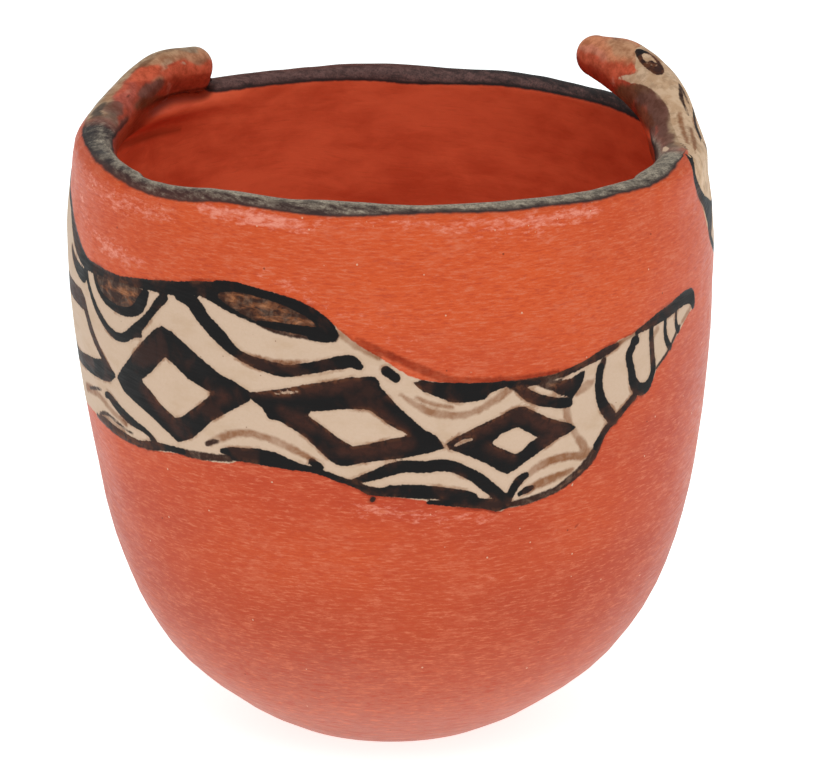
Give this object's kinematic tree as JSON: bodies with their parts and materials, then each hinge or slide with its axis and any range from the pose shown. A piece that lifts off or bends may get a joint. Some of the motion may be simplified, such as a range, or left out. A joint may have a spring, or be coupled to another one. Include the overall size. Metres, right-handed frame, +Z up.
{
  "type": "clay jar",
  "caption": "Deep hand-built clay jar with an uneven rounded lip, a small flat foot and rolled clay snake heads growing out of the rim; open and empty.",
  "frame": {"origin": "centre of the flat foot the jar stands on", "axes": "+Z up the jar's axis, +X to the right and +Y to the back as seen from the front of the painted band"},
  "size_m": [0.15, 0.15, 0.1556],
  "materials": {
    "clay": "burnished red slip, painted in black and brown on cream"
  },
  "bodies": {
    "root": {"jar": "clay"}
  },
  "joints": []
}
